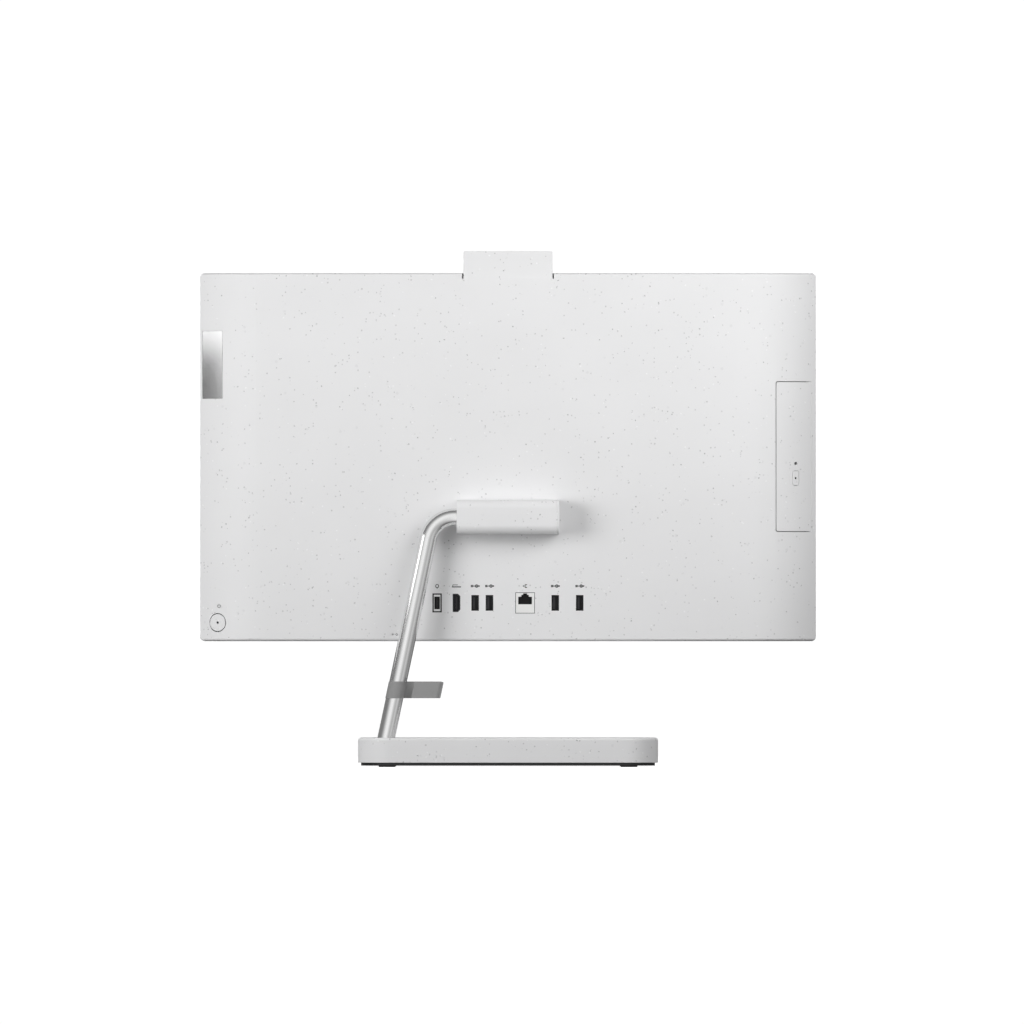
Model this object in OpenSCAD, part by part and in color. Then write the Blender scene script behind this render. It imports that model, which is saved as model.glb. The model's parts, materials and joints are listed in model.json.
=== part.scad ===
// All-in-one desktop computer on an offset bent-tube stand.
// Millimetres. Origin on the desk under the middle of the base, +Z up, the screen faces -Y.

/* [Screen] */
// Width of the screen unit
screen_w = 542; // [535:1:550]
// Height of the screen unit
screen_h = 324; // [318:1:330]
// Depth of the screen unit at its middle
screen_t = 36; // [35:0.5:38]
// Height of the screen unit's lower edge above the desk
screen_bottom = 110.4; // [105:0.1:125]
// Y of the screen's front face
screen_front = -12; // [-20:1:-8]
// Wall of the rear cover
cover_wall = 2.2; // [1.8:0.1:2.4]
// Width of the sloped band at the left and right of the rear cover
slope_w = 55; // [50:1:60]
// Depth that the sloped band falls away
slope_d = 21; // [19:0.5:22]
// Rearward lip of the middle frame outside the rear cover
lip = 0.5; // [0.3:0.1:1.5]

/* [Stand] */
// Width of the base
base_w = 263; // [250:1:280]
// Depth of the base
base_d = 185; // [180:1:190]
// Height of the top of the base
base_top = 25.6; // [25:0.1:30]
// Corner radius of the base in plan
base_r = 28; // [20:1:35]
// Outer diameter of the stand tube
tube_d = 15.2; // [14:0.1:16]
// Centreline radius of the tube's bend
bend_r = 24; // [22:1:26]
// Height of the tilt axis above the screen's lower edge
axis_up = 109; // [104:0.1:112]

/* [Camera] */
// Width of the camera module
camera_w = 78.4; // [76:0.2:80]
// How far the raised camera module stands above the screen
camera_rise = 18.9; // [18:0.1:20]

/* [Optical drive] */
// Height of the tray front, along the screen's side
door_h = 132.5; // [131:0.5:134]
// Height of the tray front's lower edge above the screen's lower edge
door_z = 96; // [95:0.1:97]

/* [Hidden] */
$fn = 96;

white = "gainsboro";
steel = "silver";
dark = "dimgray";
black = "#1b1b1d";
board = "darkgreen";
hole_gap = 0.35;       // clearance round what shows through the rear cover

// Screen unit, in its own axes: x across, y back from the front face, z up from the lower edge.
half_w = screen_w / 2;
frame_back = 9;                                    // where the middle frame ends and the rear cover starts
chin_h = 19.6;
cover_half = half_w - lip;
slope_x = cover_half - slope_w;                    // where the flat back turns into the slope
slope_r = (slope_w * slope_w + slope_d * slope_d) / (2 * slope_d);
slope_y = screen_t - slope_r;                      // y of the slope's centre
edge_r = 2;
function slope_angle(x) = asin((abs(x) - slope_x) / slope_r);
function slope_depth(x) = slope_y + slope_r * cos(slope_angle(x));

axis_y = screen_t + 15;                            // tilt axis behind the front face
tilt_y = screen_front + axis_y;
tilt_z = screen_bottom + axis_up;

// Hinge cover behind the screen
hinge_len = 90;
hinge_h = 30;
hinge_r = 8;
hinge_wall = 2;
ear_x = 20;                                        // inner face of each bracket ear
ear_t = 6;
ear_r = 11;
shaft_r = 5;
shaft_gap = 0.05;
collar_t = 4.6;
tube_start = ear_x + ear_t + 0.3 + collar_t;       // where the tube's upper end sits on the shaft's collar

// Stand tube: along the tilt axis, round one bend, then down to the base with a lean to the side and back
tube_r = tube_d / 2;
tube_wall = 1.5;
hair = 0.01;
corner_x = 65.9;                                     // where the two straight centrelines would meet
foot_x = 106.8;                                      // tube centre at the top of the base
foot_y = 61;
plate_top = 13.2;                                  // top of the foot plate inside the base
plate_at = [96, 54];
plate_size = 52;
plate_hole = 20;
drop = tilt_z - base_top;
lean_back = atan((foot_y - tilt_y) / drop);        // tilt of the bend's plane about X
fall = drop / cos(lean_back);                      // leg's fall within the bend's plane
bend = atan(fall / (foot_x - corner_x));           // angle that the tube turns through
tangent = bend_r * tan(bend / 2);
along_leg = 1 / cos(lean_back) / sin(bend);        // length of leg for each millimetre of height
leg = (tilt_z - plate_top) * along_leg + 10;
clip_z = 67.6;                                     // middle of the cable clip
clip_h = 14.7;
clip_collar = 0.4;
clip_wall = 1.7;
clip_deep = 14;
clip_reach = 39.2;                                 // from the tube's centre to the far end
clip_end = 14.4;                                   // from the tube's centre to the arm's free end

// Base, upwards from the desk
foot_h = 1.2;
base_bottom = 3.8;
base_inset = 2.5;
base_wall = 2.5;
base_fillet = 2.5;
weight_top = 9;
foot_pitch_x = 212;
foot_pitch_y = 134;

// Back connectors, as x positions along one row
port_z = 33.6;
plate_y = 10.05;                                   // rear face of the chassis plate
board_y = 15;
board_t = 1.6;
port_front = board_y + board_t;
port_back = screen_t - 0.6;
jack_x = 62.3;
video_x = 45.3;
usb_x = [28.9, 16.3, -41.5, -63];
ethernet_x = -15;
usb_size = [5.9, 13.1];
jack_size = [6.3, 14.8];
jack_slot = [4.8, 11];
ethernet_size = [16.4, 17.8];
video_size = [5.9, 15.3];

// Power button, near one lower corner on the slope
button_x = 255.4;
button_z = 16.3;
button_r = 7.6;
button_gap = 0.75;
button_angle = slope_angle(button_x);
button_t = 3.2;

// Optical drive on the other side, opening sideways
door_x = 235.2;                                    // inner edge of the tray front
door_edge = cover_half - 4.1;                      // outer edge of the tray front
door_low = 17.9;                                   // y of the opening's outer edge
door_gap = 0.7;
drive_x = 242;
drive_w = 127;
drive_size_z = 128;
drive_low = 18.9;
drive_t = 9.5;
drive_z = door_z + (door_h - drive_size_z) / 2;
tray_low = 20.3;
tray_t = 6;
disc_x = 176;                                      // disc centre
disc_z = drive_z + drive_size_z / 2;
rail_z = 8;
rail_r = 0.8;
eject_x = 253;
eject_z = 143.3;
eject_size = [5.7, 12.6];
eject_angle = slope_angle(eject_x);
eject_hole_z = 156.2;

// Camera module
notch_gap = 1.1;
notch_deep = 5.5;
camera_front = 17.6;
camera_back = screen_t - 1.5;
camera_h = 48;
camera_top = screen_h + camera_rise;
camera_bottom = camera_top - camera_h;
camera_wall = 1.5;
lens_z = screen_h + 10;
lens_r = 2.6;
window_t = 1.4;

// Badge
badge_x = [251, 268.8];
badge_z = [213.3, 272.8];
badge_t = 0.6;

// Fan, fins and heat pipe
fan_x = 120;
fan_z = 253;
fan_size = 76;
fan_front = 10.15;
fan_t = 12;
fan_r = 29;
pipe_y = 26;
pipe_r = 3;
pipe_x = 72;
pipe_bend = 12;
cpu_z = 72;
fin_z = [293, 311];

// Vents in the top and bottom walls
vent_x = [60, 200];
vent_y = [14, 29];
low_vent_x = 100;

// ---------- helpers ----------

// Rounded rectangle about the origin.
module rounded(w, h, r) {
    square([w - 2 * r, h], center = true);
    square([w, h - 2 * r], center = true);
    for (x = [-1, 1], y = [-1, 1])
        translate([x * (w / 2 - r), y * (h / 2 - r)]) circle(r);
}

// Box between two corners.
module block(low, high) translate(low) cube(high - low);

// Puts the screen's own axes into the model.
module in_screen() translate([0, screen_front, screen_bottom]) children();

// Extrudes a shape drawn in x and z along y, between two depths.
module along_y(y0, y1) translate([0, y1, 0]) rotate([90, 0, 0]) linear_extrude(y1 - y0) children();

// Rod along X from x0 to x1.
module rod_x(x0, x1, r) translate([x0, 0, 0]) rotate([0, 90, 0]) cylinder(h = x1 - x0, r = r);

// Rod along Y from y0 to y1.
module rod_y(y0, y1, r) translate([0, y1, 0]) rotate([90, 0, 0]) cylinder(h = y1 - y0, r = r);

// Ring along X from x0 to x1.
module ring_x(x0, x1, outer, inner) translate([x0, 0, 0]) rotate([0, 90, 0]) linear_extrude(x1 - x0)
    difference() {
        circle(outer);
        circle(inner);
    }

// Pan-head screw with its head above z = 0 and its shank below, with a cross slot.
module screw(head_r, head_h, shank_r, length) difference() {
    union() {
        cylinder(h = head_h, r = head_r, $fn = 32);
        translate([0, 0, -length]) cylinder(h = length, r = shank_r, $fn = 32);
    }
    for (turn = [0, 90]) rotate(turn)
        translate([0, 0, head_h]) cube([head_r * 1.2, head_r * 0.25, head_h], center = true);
}

// Plan outline of the rear cover, drawn inside the outer surface by `inset` and cut at `front`.
module cover_plan(inset, front) {
    translate([-slope_x, front]) square([2 * slope_x, screen_t - inset - front]);
    for (side = [-1, 1]) intersection() {
        translate([side * slope_x, slope_y]) circle(slope_r - inset, $fn = 256);
        translate([side > 0 ? slope_x : -cover_half + inset, front])
            square([slope_w - inset, screen_t - front]);
    }
}

// Upright section from x = 0 out to `reach`, with its two outer corners rounded.
module cover_section(reach) {
    low = lip;
    high = screen_h - lip;
    translate([0, low]) square([reach - edge_r, high - low]);
    translate([0, low + edge_r]) square([reach, high - low - 2 * edge_r]);
    for (z = [low + edge_r, high - edge_r]) translate([reach - edge_r, z]) circle(edge_r);
}

// The rear cover's outside: a flat back between two slopes turned about upright axes.
module cover_solid() {
    intersection() {
        along_x(-slope_x, slope_x) cover_section(screen_t);
        block([-slope_x, frame_back, 0], [slope_x, screen_t + 1, screen_h]);
    }
    for (side = [-1, 1]) intersection() {
        translate([side * slope_x, slope_y, 0]) rotate_extrude($fn = 256) cover_section(slope_r);
        block([side > 0 ? slope_x : -cover_half, frame_back, 0],
              [side > 0 ? cover_half : -slope_x, screen_t + 1, screen_h]);
    }
}

// Frame on the slope at x: origin on the surface, +Z outwards along the surface's normal.
module on_slope(x, z) translate([x, slope_depth(x), z])
    rotate([-90, 0, -sign(x) * slope_angle(x)]) children();

// ---------- base and stand ----------

module base_outline(inset) rounded(base_w - 2 * inset, base_d - 2 * inset, base_r - inset);

// Tube's path frame: x along the tilt axis, z up in the plane of the bend.
module in_tube_plane() translate([0, tilt_y, tilt_z]) rotate([lean_back, 0, 0]) children();

// Frame along the tube's leg, with +Z running down it from the virtual corner.
module on_leg() in_tube_plane() translate([corner_x, 0, 0]) rotate([0, 90 + bend, 0]) children();

// Slab on end: profile with its two upper edges rounded, drawn across its width.
module slab_profile(width) {
    low = base_bottom;
    flat = base_top - base_fillet;
    translate([-width / 2, low]) square([width, flat - low]);
    translate([-width / 2 + base_fillet, low]) square([width - 2 * base_fillet, base_top - low]);
    for (side = [-1, 1]) translate([side * (width / 2 - base_fillet), flat]) circle(base_fillet);
}

// One rounded corner of the base, turned from half of the profile.
module base_corner() rotate_extrude(angle = 90) intersection() {
    slab_profile(2 * base_r);
    square([base_r, base_top]);
}

module base_solid() {
    straight_x = base_w - 2 * base_r;
    straight_y = base_d - 2 * base_r;
    along_x(-straight_x / 2, straight_x / 2) slab_profile(base_d);
    along_y(-straight_y / 2, straight_y / 2) slab_profile(base_w);
    for (turn = [0, 180]) rotate(turn) {
        translate([straight_x / 2, straight_y / 2, 0]) base_corner();
        translate([-straight_x / 2, straight_y / 2, 0]) rotate(90) base_corner();
    }
}

module base_shell() color(white) difference() {
    base_solid();
    translate([0, 0, base_bottom - 1])
        linear_extrude(base_top - 3 - base_bottom + 1) base_outline(base_wall);
    on_leg() cylinder(h = leg + 20, r = tube_r + 0.2);
}

module base_bottom_plate() color(black) difference() {
    translate([0, 0, foot_h]) linear_extrude(base_bottom - foot_h) base_outline(base_inset + 0.2);
    for (x = [-1, 1], y = [-1, 1]) {
        translate([x * foot_pitch_x / 2, y * foot_pitch_y / 2, -1]) cylinder(h = 3, r = 7.6);
        translate([x * 60, y * 60, -1]) cylinder(h = 3.4, r = 3.2);
        translate([x * 60, y * 60, -1]) cylinder(h = 6, r = 1.7);
    }
}

module base_weight() color(steel) difference() {
    translate([0, 0, base_bottom + 0.1]) linear_extrude(weight_top - base_bottom - 0.1)
        rounded(base_w - 14, base_d - 14, 20);
    for (x = [-1, 1], y = [-1, 1])
        translate([x * 60, y * 60, 0]) cylinder(h = 20, r = 1.6);
    foot_plate_holes() cylinder(h = 20, r = 2.1);
}

module base_feet() color(black)
    for (x = [-1, 1], y = [-1, 1])
        translate([x * foot_pitch_x / 2, y * foot_pitch_y / 2, 0]) {
            cylinder(h = 0.4, r1 = 7, r2 = 7.4);
            translate([0, 0, 0.4]) cylinder(h = 1.5, r = 7.4);
        }

module base_screws() color(steel)
    for (x = [-1, 1], y = [-1, 1])
        translate([x * 60, y * 60, 2.3]) rotate([180, 0, 0]) screw(2.8, 1, 1.5, 6);

// The tube's run at radius r: along the tilt axis, round the bend and down the leg. The straight
// lengths are thinner by a hair and reach into the bend.
module tube_run(start, r) {
    in_tube_plane() {
        rod_x(start, corner_x - tangent + 0.3, r - hair);
        translate([corner_x - tangent, 0, -bend_r]) rotate([90, 0, 0]) rotate(90 - bend)
            rotate_extrude(angle = bend) translate([bend_r, 0]) circle(r);
    }
    on_leg() translate([0, 0, tangent - 0.3]) cylinder(h = leg - tangent, r = r - hair);
}

module stand_tube() color(steel) difference() {
    tube_run(tube_start, tube_r);
    tube_run(tube_start - 1, tube_r - tube_wall);
    block([0, 0, -20], [200, 150, plate_top]);
}

module foot_plate_holes()
    for (x = [-1, 1], y = [-1, 1])
        translate([plate_at.x + x * plate_hole, plate_at.y + y * plate_hole, 0]) children();

module tube_foot_plate() color(steel) difference() {
    translate([plate_at.x, plate_at.y, weight_top + 0.1]) linear_extrude(plate_top - weight_top - 0.1)
        rounded(plate_size, plate_size, 8);
    foot_plate_holes() cylinder(h = 20, r = 2.1);
}

module foot_plate_screws() color(dark)
    foot_plate_holes() translate([0, 0, plate_top + 0.05]) screw(3.6, 2.4, 2, 8);

// Collar round the tube with an arm that reaches across, wraps round and comes back to a free end,
// which leaves a gap beside the tube for cables.
module cable_clip() color("darkgray") intersection() {
    on_leg() translate([0, 0, (tilt_z - clip_z) * along_leg - clip_h]) linear_extrude(2 * clip_h)
        clip_section();
    block([0, 0, clip_z - clip_h / 2], [200, 150, clip_z + clip_h / 2]);
}

// The clip's section square to the tube: x towards the middle of the stand, y away from the screen.
module clip_section() difference() {
    union() {
        circle(tube_r + clip_collar);
        difference() {
            clip_loop(0);
            clip_loop(clip_wall);
            square([clip_end, clip_deep]);
        }
    }
    circle(tube_r + 0.05);
}

module clip_loop(inset) intersection() {
    translate([0, clip_deep / 2 - tube_r - 0.4])
        rounded(2 * clip_reach - 2 * inset, clip_deep - 2 * inset, 4.5 - inset);
    translate([0, -50]) square([100, 100]);
}

module hinge_shaft() color(steel) translate([0, tilt_y, tilt_z]) {
    rod_x(-40, ear_x + ear_t + 0.3, shaft_r);
    rod_x(ear_x + ear_t + 0.3, tube_start, 9);
    rod_x(tube_start, tube_start + 14, tube_r - tube_wall - 0.05);
}

module friction_washers() color(dark) translate([0, tilt_y, tilt_z])
    for (i = [0 : 3])
        ring_x(-ear_x - ear_t - 1.7 - i * 1.5, -ear_x - ear_t - 0.3 - i * 1.5, 9, shaft_r + shaft_gap);

module hinge_nut() color(steel) translate([0, tilt_y, tilt_z])
    translate([-ear_x - ear_t - 12.6, 0, 0]) rotate([0, 90, 0]) linear_extrude(5.8) difference() {
        circle(9.8, $fn = 6);
        circle(shaft_r + shaft_gap);
    }

// ---------- screen casing ----------

module rear_cover() color(white) in_screen() difference() {
    intersection() {
        difference() {
            cover_solid();
            translate([0, 0, lip + cover_wall])
                linear_extrude(screen_h - 2 * lip - 2 * cover_wall) cover_plan(cover_wall, frame_back - 1);
        }
        along_y(0, screen_t + 1) translate([0, screen_h / 2])
            rounded(screen_w - 2 * lip, screen_h - 2 * lip, 3.6);
    }
    camera_notch();
    block([-camera_w / 2 - 0.8, 30, camera_bottom - camera_rise - 1],
          [camera_w / 2 + 0.8, camera_back + 0.3, screen_h - notch_deep + 0.5]);
    port_openings();
    hinge_opening();
    vent_openings();
    door_opening();
    on_slope(button_x, button_z) cylinder(h = 20, r = button_r + button_gap, center = true);
    translate([0, 0, badge_z[0] - 0.1]) linear_extrude(badge_z[1] - badge_z[0] + 0.2)
        slope_band(badge_x[0] - 0.1, badge_x[1] + 0.1, badge_t + 0.05, -1);
    translate([101.4, 0, 5.9]) rod_y(screen_t - 5, screen_t + 1, 0.7);
}

// Band that follows the slope between two x values, from `over` to `deep` below the surface.
module slope_band(x0, x1, deep, over) intersection() {
    translate([slope_x, slope_y]) difference() {
        circle(slope_r - over, $fn = 256);
        circle(slope_r - deep, $fn = 256);
    }
    translate([x0, 0]) square([x1 - x0, screen_t + 2]);
}

module camera_notch()
    block([-camera_w / 2 - notch_gap, camera_front - 2, screen_h - notch_deep],
          [camera_w / 2 + notch_gap, screen_t + 1, screen_h + 1]);

// A connector's opening in the cover, centred on x.
module port_hole(x, size) translate([x, 0, port_z]) along_y(screen_t - 4, screen_t + 1)
    square([size.x + 2 * hole_gap, size.y + 2 * hole_gap], center = true);

// Outline of the video connector: a slot with two corners cut off on one long side.
module video_outline(grow) {
    w = video_size.x / 2 + grow;
    h = video_size.y / 2 + grow;
    cut = 2;
    polygon([[w, -h], [w, h], [-w + cut, h], [-w, h - cut], [-w, -h + cut], [-w + cut, -h]]);
}

module port_openings() {
    port_hole(jack_x, jack_size + [1.2, 1.2]);
    port_hole(ethernet_x, ethernet_size);
    for (x = usb_x) port_hole(x, usb_size);
    translate([video_x, 0, port_z]) along_y(screen_t - 4, screen_t + 1) video_outline(hole_gap);
}

module hinge_opening()
    block([-36, screen_t - 4, axis_up - ear_r - 0.6], [36, screen_t + 1, axis_up + ear_r + 0.6]);

module vent_openings() {
    for (side = [-1, 1])
        block([min(side * vent_x), vent_y[0], screen_h - 6], [max(side * vent_x), vent_y[1], screen_h + 1]);
    block([-low_vent_x, vent_y[0], -1], [low_vent_x, vent_y[1], 6]);
}

// The opening for the tray front, whose outer end runs past the screen's side.
module door_opening() along_y(door_low, screen_t + 1) translate([-door_x - 50, door_z + door_h / 2])
    rounded(100, door_h, 2);

module mid_frame() color(white) in_screen() difference() {
    along_y(2.2, frame_back) translate([0, screen_h / 2]) rounded(screen_w, screen_h, 4);
    block([-267.2, 2, 13.6], [267.2, 7.8, screen_h - 2.8]);
    block([-255, 2, 24], [255, 10, screen_h - 11]);
    block([-266, 2, 2], [266, 7.8, 12]);
    frame_holes() rod_y(5, 10, 1.6);
}

module front_bezel() color(black) in_screen() difference() {
    along_y(0.2, 2.15) translate([0, screen_h / 2]) rounded(screen_w - 0.4, screen_h - 0.4, 3.8);
    block([-265.2, 0, chin_h + 1.9], [265.2, 3, screen_h - 4.2]);
    block([-screen_w, -1, -1], [screen_w, 3, chin_h + 0.15]);
}

module chin_cover() color(white) in_screen() intersection() {
    along_y(0, 2.15) translate([0, screen_h / 2]) rounded(screen_w, screen_h, 4);
    block([-screen_w, -1, -1], [screen_w, 3, chin_h]);
}

module lcd_glass() color("#0c0d10") in_screen() block([-266.8, 2.25, 14], [266.8, 3.45, screen_h - 3.2]);

module lcd_backlight() color(steel) in_screen() difference() {
    block([-266.8, 3.5, 14], [266.8, 7.7, screen_h - 3.2]);
    for (x = [-180, -60, 60, 180])
        block([x - 45, 7.1, 60], [x + 45, 8, 270]);
}

module chassis_plate() color(steel) in_screen() difference() {
    union() {
        along_y(frame_back + 0.05, plate_y) translate([0, 161.5]) rounded(524, 307, 6);
        board_holes() rod_y(plate_y - 0.5, board_y - 0.05, 3);
        for (x = [drive_x - 12, drive_x - drive_w + 12], z = [drive_z + 12, drive_z + drive_size_z - 12])
            translate([-x, 0, z]) rod_y(plate_y - 0.5, drive_low - 0.05, 4);
    }
    frame_holes() rod_y(8, 12, 1.7);
    board_holes() rod_y(8, 20, 1.6);
    for (x = [-1, 1])
        block([x * 150 - 60, 8, 150], [x * 150 + 60, 12, 205]);
    for (x = [-1, 1], z = [-20, 20])
        translate([x * 50, 0, axis_up + z]) rod_y(8, 12, 1.7);
}

module board_holes() for (x = [-104, 104], z = [15, 89]) translate([x, 0, z]) children();

module frame_holes() for (x = [-259, 259], z = [15, 85, 240, 306]) translate([x, 0, z]) children();

module chassis_screws() color(dark) in_screen()
    frame_holes() translate([0, plate_y + 0.05, 0]) rotate([-90, 0, 0]) screw(2.8, 1.4, 1.5, 2.2);

// Steel plate on the chassis with two ears that carry the tilt shaft.
module hinge_bracket() color(steel) in_screen() difference() {
    union() {
        translate([0, 0, axis_up]) along_y(plate_y + 0.05, plate_y + 2.05) rounded(120, 56, 6);
        for (x = [-ear_x - ear_t, ear_x]) {
            block([x, plate_y + 1, axis_up - ear_r], [x + ear_t, axis_y, axis_up + ear_r]);
            translate([0, axis_y, axis_up]) rod_x(x, x + ear_t, ear_r);
        }
    }
    translate([0, axis_y, axis_up]) rod_x(-60, 60, shaft_r + shaft_gap);
    for (x = [-1, 1], z = [-20, 20])
        translate([x * 50, 0, axis_up + z]) rod_y(8, 14, 1.7);
}

// Section of the hinge cover in y and z: square where it meets the screen, rounded behind.
module hinge_section(inset) {
    deep = axis_y + 15 - screen_t;
    half = hinge_h / 2 - inset;
    r = hinge_r - inset;
    back = deep - inset;
    translate([0, -half]) square([back - r, 2 * half]);
    translate([0, -half + r]) square([back, 2 * half - 2 * r]);
    for (z = [-1, 1]) translate([back - r, z * (half - r)]) circle(r);
}

module along_x(x0, x1) translate([x0, 0, 0]) rotate([90, 0, 90]) linear_extrude(x1 - x0) children();

module hinge_cover() color(white) in_screen() translate([0, screen_t + 0.02, axis_up]) difference() {
    along_x(-hinge_len / 2 + hinge_wall, hinge_len / 2) hinge_section(0);
    along_x(-hinge_len / 2, hinge_len / 2 - hinge_wall) translate([-1, 0]) {
        hinge_section(hinge_wall);
        translate([0, -hinge_h / 2 + hinge_wall]) square([5, hinge_h - 2 * hinge_wall]);
    }
    translate([0, axis_y - screen_t - 0.02, 0]) rod_x(0, hinge_len, tube_r + 0.3);
}

module hinge_end_cap() color(white) in_screen() translate([0, screen_t + 0.02, axis_up]) {
    along_x(-hinge_len / 2, -hinge_len / 2 + hinge_wall - 0.05) hinge_section(0);
}

module grille(x0, x1, z0, z1) difference() {
    block([x0, vent_y[0] + 0.05, z0], [x1, vent_y[1] - 0.05, z1]);
    count = floor((x1 - x0 - 3) / 4);
    start = (x0 + x1) / 2 - (count - 1) * 2;
    for (i = [0 : count - 1])
        block([start + i * 4 - 1, vent_y[0] + 1.5, z0 - 1], [start + i * 4 + 1, vent_y[1] - 1.5, z1 + 1]);
}

module top_vent_grilles() color(white) in_screen()
    for (side = [-1, 1])
        grille(min(side * vent_x) + 0.05, max(side * vent_x) - 0.05,
               screen_h - lip - cover_wall, screen_h - lip - 0.4);

module bottom_vent_grille() color(white) in_screen()
    grille(-low_vent_x + 0.05, low_vent_x - 0.05, lip + 0.4, lip + cover_wall);

module badge_plate() color(steel) in_screen()
    translate([0, 0, badge_z[0]]) linear_extrude(badge_z[1] - badge_z[0])
        slope_band(badge_x[0], badge_x[1], badge_t, -0.15);

// ---------- electronics ----------

module motherboard() color(board) in_screen() difference() {
    union() {
        block([-110, board_y, 10], [110, board_y + board_t, 94]);
        block([26, board_y + board_t, 54], [58, board_y + board_t + 1.6, 90]);
        block([-52, board_y + board_t, 50], [16, board_y + board_t + 2.4, 56]);
        block([-95, board_y + board_t, 10], [-75, board_y + board_t + 2.6, 11.9]);
        block([73, board_y + board_t, 88.1], [93, board_y + board_t + 2.6, 91]);
    }
    board_holes() rod_y(10, 20, 1.7);
}

module board_screws() color(steel) in_screen()
    board_holes() translate([0, board_y + board_t + 0.05, 0]) rotate([-90, 0, 0]) screw(2.8, 1.3, 1.5, 5);

module power_jack() color("white") in_screen() translate([jack_x, 0, port_z]) {
    difference() {
        along_y(port_front, port_back) square(jack_size, center = true);
        along_y(port_back - 11, port_back + 1) square(jack_slot, center = true);
    }
    block([-0.6, port_back - 11.5, -4], [0.6, port_back - 3, 4]);
}

module video_port() color(steel) in_screen() translate([video_x, 0, port_z]) {
    difference() {
        along_y(port_front, port_back) video_outline(0);
        along_y(port_back - 11, port_back + 1) video_outline(-0.5);
    }
    block([-0.6, port_back - 11.5, -5.5], [0.6, port_back - 1.5, 5.5]);
}

module usb_port(x) color(steel) in_screen() translate([x, 0, port_z]) {
    difference() {
        along_y(port_front, port_back) square(usb_size, center = true);
        along_y(port_back - 12, port_back + 1) square(usb_size - [0.8, 0.8], center = true);
    }
    block([0.2, port_back - 12.5, -5.2], [2, port_back - 1.2, 5.2]);
}

module ethernet_port() color("white") in_screen() translate([ethernet_x, 0, port_z]) difference() {
    along_y(port_front, port_back) square(ethernet_size, center = true);
    along_y(port_back - 13, port_back + 1) {
        translate([-6, -1.2]) square([12, 6.6]);
        translate([-3.2, 5.3]) square([6.4, 1.8]);
        translate([-1.7, 7]) square([3.4, 1.3]);
    }
}

module cpu_heat_spreader() color("peru") in_screen() difference() {
    block([22, board_y + board_t + 1.65, 50], [62, pipe_y - pipe_r - 0.05, 94]);
    for (x = [25, 59], z = [53, 91]) translate([x, 0, z]) rod_y(10, 30, 1.5);
}

module heat_pipe() color("peru") in_screen() translate([0, pipe_y, 0]) {
    rod_x_at(26, pipe_x - pipe_bend, cpu_z);
    translate([pipe_x - pipe_bend, 0, cpu_z + pipe_bend]) rotate([90, 0, 0]) rotate([0, 0, -90])
        rotate_extrude(angle = 90) translate([pipe_bend, 0]) circle(pipe_r);
    translate([pipe_x, 0, cpu_z + pipe_bend]) cylinder(h = fin_z[0] + 9 - 2 * pipe_bend - cpu_z, r = pipe_r);
    translate([pipe_x + pipe_bend, 0, fin_z[0] + 9 - pipe_bend]) rotate([90, 0, 0]) rotate([0, 0, 90])
        rotate_extrude(angle = 90) translate([pipe_bend, 0]) circle(pipe_r);
    rod_x_at(pipe_x + pipe_bend, fan_x + 36, fin_z[0] + 9);
}

module rod_x_at(x0, x1, z) translate([0, 0, z]) rod_x(x0, x1, pipe_r);

module fin_stack() color("lightgray") in_screen() {
    block([fan_x - 38, 21.9, fin_z[0]], [fan_x + 38, pipe_y - pipe_r - 0.05, fin_z[1]]);
    for (i = [0 : 25])
        block([fan_x - 38 + i * 3, plate_y + 0.6, fin_z[0]], [fan_x - 37.5 + i * 3, 22, fin_z[1]]);
}

module fan_housing() color(dark) in_screen() translate([fan_x, 0, fan_z]) {
    difference() {
        block([-fan_size / 2, fan_front, -fan_size / 2], [fan_size / 2, fan_front + fan_t, fan_size / 2]);
        rod_y(fan_front + 1.2, fan_front + fan_t - 1.2, fan_r + 3);
        rod_y(fan_front + 2, fan_front + fan_t + 1, 19);
        block([-fan_r - 3, fan_front + 1.2, 0], [fan_r + 3, fan_front + fan_t - 1.2, fan_size]);
    }
    rod_y(fan_front + 1, fan_front + 8, 1.5);
}

module fan_rotor() color(black) in_screen() translate([fan_x, 0, fan_z]) difference() {
    union() {
        rod_y(fan_front + 1.8, fan_front + 9.8, 13);
        for (i = [0 : 12]) rotate([0, i * 360 / 13, 0])
            block([12, fan_front + 2.6, -0.4], [fan_r, fan_front + 9.6, 0.4]);
        difference() {
            rod_y(fan_front + 1.8, fan_front + 2.8, fan_r);
            rod_y(fan_front + 1, fan_front + 4, fan_r - 3);
        }
    }
    rod_y(fan_front, fan_front + 8.4, 1.5 + shaft_gap);
}

module memory_module() color(board) in_screen() {
    block([-52, board_y + board_t + 1.3, 56.2], [15.6, board_y + board_t + 2.5, 86]);
    for (i = [0 : 3])
        block([-49 + i * 16.5, board_y + board_t + 2.5, 62], [-38 + i * 16.5, board_y + board_t + 3.6, 76]);
}

module solid_state_drive() color(board) in_screen() {
    block([-96, board_y + board_t + 1.4, 12], [-74, board_y + board_t + 2.2, 92]);
    for (z = [22, 46, 68])
        block([-94, board_y + board_t + 2.2, z], [-76, board_y + board_t + 3.5, z + 16]);
}

module wireless_card() color(board) in_screen() {
    block([72, board_y + board_t + 1.4, 58], [94, board_y + board_t + 2.2, 88]);
    block([74, board_y + board_t + 2.2, 64], [92, board_y + board_t + 3.6, 86]);
}

module hard_drive() color("lightgray") in_screen() difference() {
    block([132, plate_y + 0.1, 50], [232, plate_y + 7.1, 120]);
    block([140, plate_y + 6.6, 56], [222, plate_y + 8, 114]);
}

module speaker(side) color(black) in_screen() difference() {
    block([side > 0 ? 165 : -235, plate_y + 0.1, 6], [side > 0 ? 235 : -165, 24, 38]);
    for (x = [185, 215]) translate([side * x, 0, 22]) rod_y(22.5, 30, 10);
}

// ---------- power button ----------

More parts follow.
